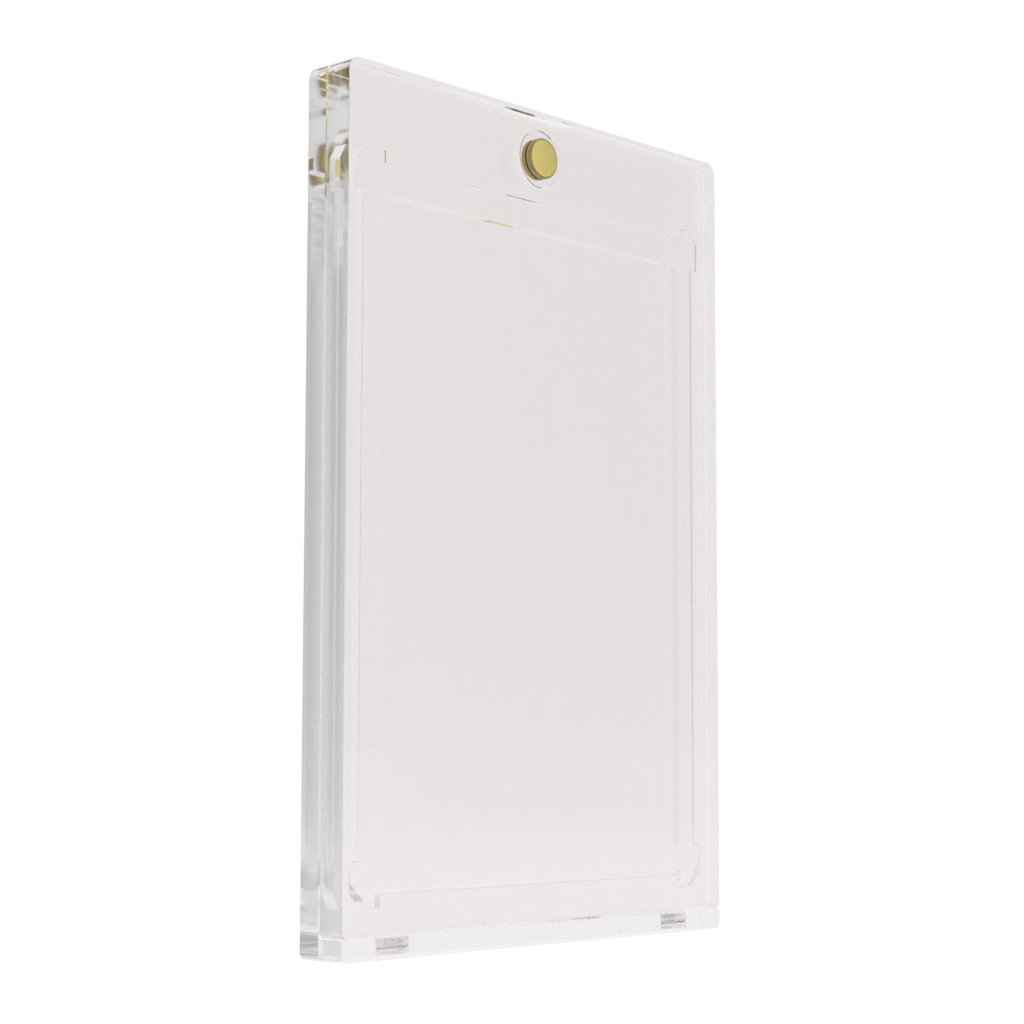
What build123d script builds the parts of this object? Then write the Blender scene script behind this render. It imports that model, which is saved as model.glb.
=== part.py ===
from build123d import *
import os
from math import cos, radians, sin, sqrt

# Clear display case for one trading card: two acrylic shells held shut by a
# pair of magnets at the top and by two claws at the foot.
# Millimetres. +X is to the right seen from the front, the front faces -Y, +Z is up.
# The origin is the middle of the foot. A "depth" is measured back from the front face.

# ---- driving dimensions ----
case_width = 79.375  # 3 1/8 in
case_height = 119.06  # 4 11/16 in
case_depth = 7.94  # 5/16 in
lid_thickness = 4.30
base_thickness = 3.59
top_corner_radius = 2.0
foot_corner_radius = 1.0
edge_round = 0.1
seam_chamfer = 0.15

# card, and the frame round it that locates both the card and the lid
card_width = 63.5
card_height = 88.9
card_play = 0.15
card_centre_height = 57.2
frame_side_width = 3.3
frame_end_width = 4.2
frame_rise = 1.05
frame_lead_in = 0.9
ear_side_reach = 1.4
ear_end_reach = 1.7
ear_width = 5.3
ear_height = 5.9
ear_corner_cut = 2.0
lid_side_clearance = 0.15
lid_floor_clearance = 0.05

# foot lip, and the claws of the lid that turn in it
lip_height = 2.85
lip_gap = 0.10
hinge_offset = 29.5
claw_width = 5.8
claw_side_play = 0.15
claw_inner_radius = 2.3
claw_outer_radius = 3.72
claw_sweep = 41.0
claw_tip_round = 0.35
pocket_clearance = 0.1
pocket_front_depth = 1.9
pocket_back_depth = 7.5
pocket_floor = 0.5

# magnets, each in a clear round cup
magnet_radius = 2.95
magnet_thickness = 1.75
magnet_edge = 0.25
magnet_height = 112.6
magnet_sink = 0.10
cup_radius = 4.1
cup_wall = 0.80
cup_edge = 0.25
base_cup_end = 6.68
socket_clearance = 0.2
glue_line = 0.02

# thumb notch in the top edge of the base
thumb_width = 12.0
thumb_ramp = 2.2
thumb_depth = 0.55

# ---- worked-out dimensions ----
seam_depth = case_depth - base_thickness
frame_top_depth = seam_depth - frame_rise
recess_depth = frame_top_depth - lid_floor_clearance
lid_foot = lip_height + lip_gap
well_width = card_width + 2 * card_play
well_height = card_height + 2 * card_play
frame_outer_width = well_width + 2 * frame_side_width
frame_outer_height = well_height + 2 * frame_end_width
hinge_y = edge_round - case_depth / 2
hinge_z = lid_foot + edge_round


def depth_plane(depth):
    """The upright plane this far behind the front face. Extrusions from it come forward."""
    return Plane.XZ.offset(case_depth / 2 - depth)


def depth_to_y(depth):
    return depth - case_depth / 2


def frame_shape(outline, grown):
    """The frame's outline, grown on every side: each corner is a block that stands out
    past the straight sides and has its own corner cut off."""
    width = frame_outer_width + 2 * ear_side_reach + 2 * grown
    height = frame_outer_height + 2 * ear_end_reach + 2 * grown
    Rectangle(width, height)
    chamfer(outline.vertices(), ear_corner_cut)
    end_offset = (height - ear_end_reach) / 2
    with Locations((0, -end_offset), (0, end_offset)):
        Rectangle(width - 2 * ear_width - 4 * grown, ear_end_reach, mode=Mode.SUBTRACT)
    side_offset = (width - ear_side_reach) / 2
    with Locations((-side_offset, 0), (side_offset, 0)):
        Rectangle(ear_side_reach, height - 2 * ear_height - 4 * grown, mode=Mode.SUBTRACT)


def below_hinge(radius, angle):
    """The point (y, z) at this radius from the hinge line, this far below level."""
    turn = radians(angle)
    return (hinge_y + radius * cos(turn), hinge_z - radius * sin(turn))


# ---- base shell: back plate, foot lip, card frame ----
with BuildPart() as base_shell:
    with BuildSketch(depth_plane(case_depth)) as plate_outline:
        with Locations((0, case_height / 2)):
            Rectangle(case_width, case_height)
        rows = plate_outline.vertices().group_by(Axis.Y)
        fillet(rows[-1], top_corner_radius)
        rows = plate_outline.vertices().group_by(Axis.Y)
        fillet(rows[0], foot_corner_radius)
    extrude(amount=base_thickness)
    seam_edges = base_shell.faces().sort_by(Axis.Y)[0].outer_wire().edges()
    chamfer(seam_edges, seam_chamfer)

    # the lip runs under the lid to the front face
    with BuildSketch(depth_plane(case_depth)) as lip_outline:
        with Locations((0, lip_height / 2)):
            Rectangle(case_width, lip_height)
        fillet(lip_outline.vertices().group_by(Axis.Y)[0], foot_corner_radius)
    extrude(amount=case_depth)
    outer_faces = base_shell.faces().filter_by(Axis.Y).sort_by(Axis.Y)
    lip_edges = outer_faces[0].outer_wire().edges()
    back_edges = outer_faces[-1].outer_wire().edges()
    fillet(lip_edges + back_edges, edge_round)

    # frame round the card
    with BuildSketch(depth_plane(seam_depth)) as frame_outline:
        with Locations((0, card_centre_height)):
            frame_shape(frame_outline, 0)
            Rectangle(well_width, well_height, mode=Mode.SUBTRACT)
    extrude(amount=frame_rise)
    # the lid's foot edge rises as it swings, so the lower side of the frame leans back
    frame_face = base_shell.faces().filter_by(Axis.Y).sort_by(Axis.Y)[1]
    lower_edges = frame_face.outer_wire().edges().filter_by(
        lambda edge: edge.center().Z < card_centre_height - frame_outer_height / 2 + ear_corner_cut
    )
    chamfer(lower_edges, frame_lead_in, frame_rise - lid_floor_clearance, reference=frame_face)

    # round hole for the magnet cup
    with BuildSketch(depth_plane(base_cup_end + glue_line)):
        with Locations((0, magnet_height)):
            Circle(cup_radius + glue_line)
    extrude(amount=base_cup_end + glue_line - frame_top_depth, mode=Mode.SUBTRACT)

    # thumb notch
    with BuildSketch(depth_plane(case_depth)):
        with BuildLine():
            Polyline(
                (-thumb_width / 2 - thumb_ramp, case_height),
                (-thumb_width / 2, case_height - thumb_depth),
                (thumb_width / 2, case_height - thumb_depth),
                (thumb_width / 2 + thumb_ramp, case_height),
                close=True,
            )
        make_face()
    extrude(amount=base_thickness, mode=Mode.SUBTRACT)

    # two pockets in the lip: upright at the back, curved round the hinge line in front
    pocket_radius = claw_inner_radius - pocket_clearance
    front_reach = pocket_front_depth - edge_round
    knee_z = hinge_z - sqrt(pocket_radius**2 - front_reach**2)
    mouth_y = hinge_y + sqrt(pocket_radius**2 - (hinge_z - lip_height) ** 2)
    front_y = depth_to_y(pocket_front_depth)
    pocket_width = claw_width + 2 * claw_side_play
    for side in (-1, 1):
        with BuildSketch(Plane.YZ.offset(side * hinge_offset)):
            with BuildLine():
                Polyline(
                    (mouth_y, lip_height),
                    (depth_to_y(pocket_back_depth), lip_height),
                    (depth_to_y(pocket_back_depth), pocket_floor),
                    (front_y, pocket_floor),
                    (front_y, knee_z),
                )
                RadiusArc((front_y, knee_z), (mouth_y, lip_height), -pocket_radius)
            make_face()
        extrude(amount=pocket_width / 2, both=True, mode=Mode.SUBTRACT)
base_shell.part.label = "base_shell"

# ---- front lid: plate, recess over the frame, claws ----
with BuildPart() as front_lid:
    with BuildSketch(depth_plane(lid_thickness)) as lid_outline:
        with Locations((0, (case_height + lid_foot) / 2)):
            Rectangle(case_width, case_height - lid_foot)
        rows = lid_outline.vertices().group_by(Axis.Y)
        fillet(rows[-1], top_corner_radius)
        rows = lid_outline.vertices().group_by(Axis.Y)
        fillet(rows[0], foot_corner_radius)
    extrude(amount=lid_thickness)
    flat_faces = front_lid.faces().filter_by(Axis.Y).sort_by(Axis.Y)
    fillet(flat_faces[0].outer_wire().edges(), edge_round)
    flat_faces = front_lid.faces().filter_by(Axis.Y).sort_by(Axis.Y)
    chamfer(flat_faces[-1].outer_wire().edges(), seam_chamfer)

    # recess that drops over the frame
    with BuildSketch(depth_plane(lid_thickness)) as recess_outline:
        with Locations((0, card_centre_height)):
            frame_shape(recess_outline, lid_side_clearance)
    extrude(amount=lid_thickness - recess_depth, mode=Mode.SUBTRACT)

    # round socket over the base's cup, and the hole for the lid's own cup
    with BuildSketch(depth_plane(lid_thickness)):
        with Locations((0, magnet_height)):
            Circle(cup_radius + socket_clearance)
    extrude(amount=lid_thickness - recess_depth, mode=Mode.SUBTRACT)
    with BuildSketch(depth_plane(recess_depth)):
        with Locations((0, magnet_height)):
            Circle(cup_radius + glue_line)
    extrude(amount=recess_depth - cup_wall + glue_line, mode=Mode.SUBTRACT)

    # two claws, bent round the hinge line so that they turn out of their pockets
    for side in (-1, 1):
        with BuildSketch(Plane.YZ.offset(side * hinge_offset)) as claw_profile:
            with BuildLine():
                CenterArc((hinge_y, hinge_z), claw_outer_radius, 0, -claw_sweep)
                CenterArc((hinge_y, hinge_z), claw_inner_radius, 0, -claw_sweep)
                Line(below_hinge(claw_inner_radius, 0), below_hinge(claw_outer_radius, 0))
                Line(
                    below_hinge(claw_inner_radius, claw_sweep),
                    below_hinge(claw_outer_radius, claw_sweep),
                )
            make_face()
            fillet(claw_profile.vertices().sort_by(Axis.Y)[0:2], claw_tip_round)
        extrude(amount=claw_width / 2, both=True)
front_lid.part.label = "front_lid"

# ---- magnet cups: clear plugs, each with a round pocket towards the other ----
with BuildPart() as lid_magnet_cup:
    with BuildSketch(depth_plane(recess_depth)):
        with Locations((0, magnet_height)):
            Circle(cup_radius)
    extrude(amount=recess_depth - cup_wall)
    chamfer(lid_magnet_cup.edges().group_by(Axis.Y)[0], cup_edge)
    with BuildSketch(depth_plane(recess_depth)):
        with Locations((0, magnet_height)):
            Circle(magnet_radius + glue_line)
    extrude(amount=magnet_sink + magnet_thickness + glue_line, mode=Mode.SUBTRACT)
lid_magnet_cup.part.label = "lid_magnet_cup"

with BuildPart() as base_magnet_cup:
    with BuildSketch(depth_plane(base_cup_end)):
        with Locations((0, magnet_height)):
            Circle(cup_radius)
    extrude(amount=base_cup_end - frame_top_depth)
    chamfer(base_magnet_cup.edges().group_by(Axis.Y)[-1], cup_edge)
    base_pocket_end = frame_top_depth + magnet_sink + magnet_thickness + glue_line
    with BuildSketch(depth_plane(base_pocket_end)):
        with Locations((0, magnet_height)):
            Circle(magnet_radius + glue_line)
    extrude(amount=base_pocket_end - frame_top_depth, mode=Mode.SUBTRACT)
base_magnet_cup.part.label = "base_magnet_cup"

# ---- magnets ----
with BuildPart() as lid_magnet:
    with BuildSketch(depth_plane(recess_depth - magnet_sink)):
        with Locations((0, magnet_height)):
            Circle(magnet_radius)
    extrude(amount=magnet_thickness)
    chamfer(lid_magnet.edges().filter_by(GeomType.CIRCLE), magnet_edge)
lid_magnet.part.label = "lid_magnet"

with BuildPart() as base_magnet:
    with BuildSketch(depth_plane(frame_top_depth + magnet_sink + magnet_thickness)):
        with Locations((0, magnet_height)):
            Circle(magnet_radius)
    extrude(amount=magnet_thickness)
    chamfer(base_magnet.edges().filter_by(GeomType.CIRCLE), magnet_edge)
base_magnet.part.label = "base_magnet"

# ---- one file for each piece ----
os.makedirs("parts", exist_ok=True)
for piece in (base_shell, front_lid, lid_magnet_cup, base_magnet_cup, lid_magnet, base_magnet):
    export_step(piece.part, f"parts/{piece.part.label}.step")
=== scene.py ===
from math import cos, pi, radians, sin

import bmesh
import bpy
from mathutils import Matrix, Vector


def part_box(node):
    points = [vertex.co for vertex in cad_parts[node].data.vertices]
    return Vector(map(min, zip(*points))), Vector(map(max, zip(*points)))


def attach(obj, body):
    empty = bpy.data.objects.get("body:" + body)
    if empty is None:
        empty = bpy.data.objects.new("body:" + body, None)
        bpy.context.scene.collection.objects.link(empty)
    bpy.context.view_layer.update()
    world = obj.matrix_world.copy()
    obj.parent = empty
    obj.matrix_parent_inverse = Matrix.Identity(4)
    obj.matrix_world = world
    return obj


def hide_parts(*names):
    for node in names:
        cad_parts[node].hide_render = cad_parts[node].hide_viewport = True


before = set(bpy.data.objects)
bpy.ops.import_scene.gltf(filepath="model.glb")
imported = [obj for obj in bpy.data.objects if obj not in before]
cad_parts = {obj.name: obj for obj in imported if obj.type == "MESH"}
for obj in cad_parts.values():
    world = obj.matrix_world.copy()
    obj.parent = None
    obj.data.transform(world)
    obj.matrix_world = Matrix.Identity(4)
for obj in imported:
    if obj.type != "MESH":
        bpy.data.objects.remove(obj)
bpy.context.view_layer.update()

# A clear acrylic case for one trading card, standing in a white studio. The script works
# in Blender's metres, and MM turns a length in millimetres into them.
MM = 0.001

# ---- camera, found from the six visible corners of the case ----
LOOK_AZIMUTH = radians(47.576)  # from +Y towards +X
LOOK_ELEVATION = radians(5.743)
LOOK_ROLL = radians(0.110)
CAMERA_PLACE = Vector((-244.14, -220.15, 28.11)) * MM
CLIP_START = 0.01
LENS = 80.66  # in millimetres, as Blender has it
SENSOR = 36.0

# ---- studio, white but for a soft darker side, which the front mirrors ----
WHITE = 1.0
SHADE = 0.62  # how bright the middle of the darker side is
SHADE_AZIMUTH = radians(132)  # from +Y towards +X
SHADE_ELEVATION = radians(14)
SHADE_FROM = 0.9135  # cosine of the angle off its middle where the shade begins
SHADE_TO = 1.0
SHADE_FLOOR_NEAR = 0.118  # from the middle of the case to where it begins on the floor
SHADE_FLOOR_FAR = 0.7
FLOOR_HALF = 4.0
FLOOR_GREY = 0.05  # dark under its own glow, so that it takes hardly any shadow
FLOOR_GLOW = 0.97
PAPER_ROUGHNESS = 0.9
PAPER_GRAIN = 900.0, 3.0  # a noise is given by its scale per metre and its detail
PAPER_BUMP = 0.05
PAPER_DEPTH = 0.05 * MM
BOUNCES = 64  # light that runs along inside the acrylic turns back from its faces many times

# ---- acrylic ----
ACRYLIC_IOR = 1.49
ACRYLIC_TINT = (0.911, 0.891, 0.892, 1)
SIDE_PAINTED_SHADE = (0.690, 0.678, 0.680, 1)  # painted shade: the long sides are tinted greyer for the shade seen through them
LIP_PAINTED_SHADE = (0.800, 0.778, 0.778, 1)  # painted shade: the lip's front is tinted greyer too
WALL_PAINTED_LIGHT = (1, 1, 1, 1)  # painted light: the inner walls are left untinted, lighter than the rest, so that the shade on them hardly shows
POLISH = 0.03, 0.07  # least and most roughness
POLISH_PATCHES = 60.0, 1.0
FLOW_WAVES = 35.0, 0.0  # the faint waviness that moulding leaves
FLOW_BUMP = 1.0
FLOW_DEPTH = 0.0015 * MM
JOINT_TINTS = (0.985, 0.985, 0.985, 1), (1, 1, 1, 1)
JOINT_IOR = 1.0  # light goes straight through a cemented joint

# ---- gold plating ----
GOLD_FACE = (1.0, 0.86, 0.26, 1)
# painted shade: the rim and side of each magnet are coloured darker for the shade that falls
# on them
GOLD_RIM_SHADE = (0.48, 0.37, 0.11, 1)
GOLD_GAP_SHADE = (0.07, 0.045, 0.005, 1)  # painted shade: near black on the edges where the magnets meet, for the shade in the gap between them
GOLD_ROUGH = 0.35, 0.5  # least and most roughness
GOLD_DULLING = 0.97  # what its specks leave of the colour
GOLD_SPECKS = 2500.0, 2.0

# ---- turned pieces ----
TURNED_SIDES = 96
EDGE_STEPS = 4
SHARP_ANGLE = radians(35)
GLUE_LINE = 0.02 * MM  # gap that the CAD model leaves round each glued piece
MAGNET_EDGE = 0.25 * MM
MEETING_EDGE = 0.15 * MM  # crisper where the two magnets face each other
CUP_EDGE = 0.25 * MM
SEAM_Y = 0.38 * MM  # front of the base's plate, out of which the base's cup stands

# ---- where the faces of the shells lie ----
HOLE_GAP = 1.5 * GLUE_LINE  # past a cup's radius, takes in the wall of its hole
SOCKET_GAP = 0.25 * MM  # further past it, takes in the wall of the lid's socket
SKIN = 0.02 * MM  # a face this near the plane of a side or of the front lies in it
NOTCH_DEPTH = 0.6 * MM  # the thumb notch is within this of the top edge
NOTCH_HALF = 6.5 * MM  # and within this of the middle
LIP_TOP = 2.86 * MM
LIP_GAP = 2.8 * MM, 3.1 * MM  # heights between which the lid's foot faces the lip
FRAME_HALF = 37.5 * MM  # what lies inside these three belongs to the frame or its recess
FRAME_FOOT = 6.0 * MM
FRAME_TOP = 108.5 * MM
WALL_FLATNESS = 0.9  # and is a wall where its normal's part along Y is under this

# ---- material slots ----
CLEAR, WALL, JOINT, SIDE, LIP = range(5)  # of the acrylic pieces
FACE, RIM, GAP_SHADE = range(3)  # and of the magnets: the rim and the meeting edge carry painted shade
MIX_FIRST, MIX_SECOND, MIX_RESULT = 6, 7, 2  # a Mix node's sockets for colours


def camera():
    """The photograph's view: from the left and low down, looking a little up."""
    look = Vector((
        sin(LOOK_AZIMUTH) * cos(LOOK_ELEVATION),
        cos(LOOK_AZIMUTH) * cos(LOOK_ELEVATION),
        sin(LOOK_ELEVATION),
    ))
    level = Vector((cos(LOOK_AZIMUTH), -sin(LOOK_AZIMUTH), 0))
    upright = level.cross(look)
    right = level * cos(LOOK_ROLL) + upright * sin(LOOK_ROLL)
    up = upright * cos(LOOK_ROLL) - level * sin(LOOK_ROLL)
    data = bpy.data.cameras.new("camera")
    data.lens = LENS
    data.sensor_width = SENSOR
    data.clip_start = CLIP_START
    made = bpy.data.objects.new("camera", data)
    axes = Matrix((right, up, -look)).transposed().to_4x4()
    made.matrix_world = Matrix.Translation(CAMERA_PLACE) @ axes
    bpy.context.scene.collection.objects.link(made)
    bpy.context.scene.camera = made


def node_tree(owner):
    """The emptied node tree of a material or a world."""
    owner.use_nodes = True
    tree = owner.node_tree
    tree.nodes.clear()
    return tree


def node(tree, kind, inputs, **settings):
    """A new node with its settings, and inputs that are each a value or a socket."""
    made = tree.nodes.new(kind)
    for name, value in settings.items():
        setattr(made, name, value)
    for name, value in inputs.items():
        if isinstance(value, bpy.types.NodeSocket):
            tree.links.new(value, made.inputs[name])
        else:
            made.inputs[name].default_value = value
    return made


def vector(tree, operation, *inputs):
    """A Vector Math node on these inputs."""
    return node(tree, "ShaderNodeVectorMath", dict(enumerate(inputs)), operation=operation)


def noise(tree, place, texture):
    """A noise from 0 to 1 over place; texture is its scale and its detail."""
    scale, detail = texture
    inputs = {"Vector": place, "Scale": scale, "Detail": detail}
    return node(tree, "ShaderNodeTexNoise", inputs).outputs["Fac"]


def spread(tree, value, least, most):
    """A value from 0 to 1 spread from least to most."""
    inputs = {"Value": value, "To Min": least, "To Max": most}
    return node(tree, "ShaderNodeMapRange", inputs).outputs["Result"]


def fading(tree, value, start, end, darkest):
    """White where value is at start, falling softly to darkest where it is at end."""
    inputs = {
        "Value": value,
        "From Min": start,
        "From Max": end,
        "To Min": WHITE,
        "To Max": darkest,
    }
    made = node(tree, "ShaderNodeMapRange", inputs, interpolation_type="SMOOTHSTEP")
    return made.outputs["Result"]


def bump(tree, height, strength, distance):
    """The surface's normal, bumped by a height."""
    inputs = {"Height": height, "Strength": strength, "Distance": distance}
    return node(tree, "ShaderNodeBump", inputs).outputs["Normal"]


def mixed(tree, share, first, second):
    """The first colour, with a share from 0 to 1 of the second mixed in."""
    inputs = {"Factor": share, MIX_FIRST: first, MIX_SECOND: second}
    return node(tree, "ShaderNodeMix", inputs, data_type="RGBA").outputs[MIX_RESULT]


def new_material(name):
    """A material, its empty node tree and the place on the object as a socket."""
    material = bpy.data.materials.new(name)
    tree = node_tree(material)
    place = node(tree, "ShaderNodeTexCoord", {}).outputs["Object"]
    return material, tree, place


def surface(tree, inputs):
    """The material's shader, a Principled BSDF with these inputs."""
    shader = node(tree, "ShaderNodeBsdfPrincipled", inputs)
    node(tree, "ShaderNodeOutputMaterial", {"Surface": shader.outputs["BSDF"]})


def shade(tree, direction, darkest):
    """How bright the studio is in a direction: white, but for the soft darker side."""
    middle = (
        sin(SHADE_AZIMUTH) * cos(SHADE_ELEVATION),
        cos(SHADE_AZIMUTH) * cos(SHADE_ELEVATION),
        sin(SHADE_ELEVATION),
    )
    toward = vector(tree, "DOT_PRODUCT", direction, middle).outputs["Value"]
    return fading(tree, toward, SHADE_FROM, SHADE_TO, darkest)


def sky():
    """The studio's light, from all round."""
    world = bpy.data.worlds.new("sky")
    bpy.context.scene.world = world
    tree = node_tree(world)
    direction = node(tree, "ShaderNodeTexCoord", {}).outputs["Generated"]
    back = node(tree, "ShaderNodeBackground", {"Color": shade(tree, direction, SHADE)})
    node(tree, "ShaderNodeOutputWorld", {"Surface": back.outputs["Background"]})


def floor():
    """White paper, glowing as bright as the sky that it runs into."""
    mesh = bpy.data.meshes.new("floor")
    h = FLOOR_HALF
    mesh.from_pydata([(-h, -h, 0), (h, -h, 0), (h, h, 0), (-h, h, 0)], [], [(0, 1, 2, 3)])
    made = bpy.data.objects.new("floor", mesh)
    bpy.context.scene.collection.objects.link(made)
    material, tree, place = new_material("floor_paper")
    outward = vector(tree, "NORMALIZE", place).outputs["Vector"]
    away = vector(tree, "LENGTH", place).outputs["Value"]
    darkest = fading(tree, away, SHADE_FLOOR_NEAR, SHADE_FLOOR_FAR, SHADE)
    surface(tree, {
        "Base Color": (FLOOR_GREY, FLOOR_GREY, FLOOR_GREY, 1),
        "Roughness": PAPER_ROUGHNESS,
        "Specular IOR Level": 0.0,
        "Emission Color": shade(tree, outward, darkest),
        "Emission Strength": FLOOR_GLOW,
        "Normal": bump(tree, noise(tree, place, PAPER_GRAIN), PAPER_BUMP, PAPER_DEPTH),
    })
    mesh.materials.append(material)


def acrylic(name, tint):
    """Polished clear acrylic with the faint waves and hazier patches of a moulding."""
    material, tree, place = new_material(name)
    surface(tree, {
        "Base Color": tint,
        "Transmission Weight": 1.0,
        "IOR": ACRYLIC_IOR,
        "Roughness": spread(tree, noise(tree, place, POLISH_PATCHES), *POLISH),
        "Normal": bump(tree, noise(tree, place, FLOW_WAVES), FLOW_BUMP, FLOW_DEPTH),
    })
    return material


def cemented(name):
    """A joint of acrylic cemented to acrylic: light goes straight through it."""
    material, tree, place = new_material(name)
    surface(tree, {
        "Base Color": mixed(tree, noise(tree, place, POLISH_PATCHES), *JOINT_TINTS),
        "Transmission Weight": 1.0,
        "IOR": JOINT_IOR,
        "Roughness": 0.0,
    })
    return material


def gold(name, colour):
    """Satin gold plating, a little duller and rougher in fine specks."""
    material, tree, place = new_material(name)
    specks = noise(tree, place, GOLD_SPECKS)
    dull = tuple(GOLD_DULLING * part for part in colour[:3]) + (1,)
    surface(tree, {
        "Base Color": mixed(tree, specks, colour, dull),
        "Metallic": 1.0,
        "Roughness": spread(tree, specks, *GOLD_ROUGH),
    })
    return material


def half_width(node_name):
    """Half a CAD node's width, the radius of a round one."""
    low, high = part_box(node_name)
    return (high.x - low.x) / 2


def middle_of(node_name):
    """The middle of a CAD node's box."""
    low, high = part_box(node_name)
    return (low + high) / 2


def dress(name, cup_name, materials):
    """Acrylic on a shell: the joint on the wall of the hole that its magnet cup sits in,
    the greyer kinds, painted shade, on the long sides and the lip's front, and the
    brightest, painted light, in the magnet socket, in the thumb notch, between lid and lip,
    and on the walls of the card frame and its recess."""
    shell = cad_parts[name]
    mesh = shell.data
    mesh.materials.clear()
    for material in materials:
        mesh.materials.append(material)
    centre = middle_of(cup_name)
    hole = half_width(cup_name) + HOLE_GAP
    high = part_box(name)[1]
    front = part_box("base_shell")[0].y
    places = [shell.matrix_world @ corner.co for corner in mesh.vertices]
    for side in mesh.polygons:
        corners = [places[corner] for corner in side.vertices]
        furthest = max(
            Vector((place.x - centre.x, place.z - centre.z)).length for place in corners
        )
        in_notch = all(
            place.z > high.z - NOTCH_DEPTH and abs(place.x) < NOTCH_HALF for place in corners
        )
        over_lip = all(LIP_GAP[0] < place.z < LIP_GAP[1] for place in corners)
        in_frame = all(
            abs(place.x) < FRAME_HALF and FRAME_FOOT < place.z < FRAME_TOP
            for place in corners
        )
        if furthest < hole:
            side.material_index = JOINT
        elif min(abs(place.x) for place in corners) > high.x - SKIN:
            side.material_index = SIDE
        elif furthest < hole + SOCKET_GAP or in_notch:
            side.material_index = WALL
        elif all(place.z < LIP_TOP and place.y < front + SKIN for place in corners):
            side.material_index = LIP
        elif over_lip or (in_frame and abs(side.normal.y) < WALL_FLATNESS):
            side.material_index = WALL
        else:
            side.material_index = CLEAR


def turned(name, profile, centre, materials):
    """A piece turned round the line along Y through centre. The profile is a list of
    (radius, y, slot) points that starts and ends on that line, and slot is the material
    of the side that runs on from the point."""
    shape = bmesh.new()
    rings = []
    for radius, y, _ in profile:
        ring = []
        for step in range(TURNED_SIDES if radius else 1):
            angle = 2 * pi * step / TURNED_SIDES
            x, z = centre.x + radius * cos(angle), centre.z + radius * sin(angle)
            ring.append(shape.verts.new((x, y, z)))
        rings.append(ring)
    for near, far, (_, _, slot) in zip(rings, rings[1:], profile):
        for step in range(TURNED_SIDES):
            after = (step + 1) % TURNED_SIDES
            around = (near, step), (near, after), (far, after), (far, step)
            corners = dict.fromkeys(ring[place % len(ring)] for ring, place in around)
            side = shape.faces.new(list(corners))
            side.material_index = slot
            side.smooth = True
    bmesh.ops.recalc_face_normals(shape, faces=shape.faces)
    mesh = bpy.data.meshes.new(name)
    shape.to_mesh(mesh)
    shape.free()
    mesh.set_sharp_from_angle(angle=SHARP_ANGLE)
    for material in materials:
        mesh.materials.append(material)
    made = bpy.data.objects.new(name, mesh)
    bpy.context.scene.collection.objects.link(made)
    return made


def rounded(radius, y, inward, edge, slot):
    """The points of a round edge from the flat end at y to the side at radius."""
    points = []
    for step in range(EDGE_STEPS + 1):
        angle = pi / 2 * step / EDGE_STEPS
        out, back = edge * sin(angle), edge * (1 - cos(angle))
        points.append((radius - edge + out, y + inward * back, slot))
    return points


def magnet(node_name, body, materials):
    """A plated disc with rounded edges; its rim is a darker gold, painted shade, and the
    edge that meets the other magnet is near black, painted shade for the gap between them."""
    low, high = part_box(node_name)
    radius = half_width(node_name)
    if body == "lid":
        outside, meeting, inward = low.y, high.y, 1
    else:
        outside, meeting, inward = high.y, low.y, -1
    profile = [(0, outside, FACE)] + rounded(radius, outside, inward, MAGNET_EDGE, RIM)
    profile += rounded(radius, meeting, -inward, MEETING_EDGE, GAP_SHADE)[:0:-1]
    profile += [(radius - MEETING_EDGE, meeting, FACE), (0, meeting, FACE)]
    made = turned(node_name + "_disc", profile, middle_of(node_name), materials)
    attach(made, body)
    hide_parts(node_name)


def cup(node_name, magnet_name, body, materials):
    """A clear plug cemented into its shell, with the magnet set in it."""
    low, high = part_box(node_name)
    magnet_low, magnet_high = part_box(magnet_name)
    radius = half_width(node_name)
    pocket = half_width(magnet_name) + GLUE_LINE
    if body == "lid":
        closed, mouth, bottom, inward = low.y, high.y, magnet_low.y - GLUE_LINE, 1
    else:
        closed, mouth, bottom, inward = high.y, low.y, magnet_high.y + GLUE_LINE, -1
    profile = [(0, closed, JOINT)] + rounded(radius, closed, inward, CUP_EDGE, JOINT)
    if body == "base":
        profile.append((radius, SEAM_Y, WALL))
    profile += [(radius, mouth, CLEAR), (pocket, mouth, JOINT)]
    profile += [(pocket, bottom, JOINT), (0, bottom, JOINT)]
    made = turned(node_name + "_plug", profile, middle_of(node_name), materials)
    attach(made, body)
    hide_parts(node_name)


camera()
sky()
floor()
clear = acrylic("clear_acrylic", ACRYLIC_TINT)
# painted light on the inner walls, the magnet socket, the notch and the lip's gap
walls = acrylic("walls_painted_light", WALL_PAINTED_LIGHT)
joint = cemented("cemented_joint")
# painted shade on the long sides
sides = acrylic("sides_painted_shade", SIDE_PAINTED_SHADE)
# painted shade on the lip's front
lip = acrylic("lip_front_painted_shade", LIP_PAINTED_SHADE)
face = gold("gold_face", GOLD_FACE)
# painted shade on the magnets' rims
rim = gold("gold_rim_painted_shade", GOLD_RIM_SHADE)
# painted shade on the edges where the magnets meet
gap_shade = gold("gap_painted_shade", GOLD_GAP_SHADE)
for shell, body in (("base_shell", "base"), ("front_lid", "lid")):
    dress(shell, body + "_magnet_cup", (clear, walls, joint, sides, lip))
    cup(body + "_magnet_cup", body + "_magnet", body, (clear, walls, joint))
    magnet(body + "_magnet", body, (face, rim, gap_shade))

scene = bpy.context.scene
scene.view_settings.view_transform = "Standard"
scene.cycles.max_bounces = BOUNCES
scene.cycles.glossy_bounces = BOUNCES
scene.cycles.transmission_bounces = BOUNCES
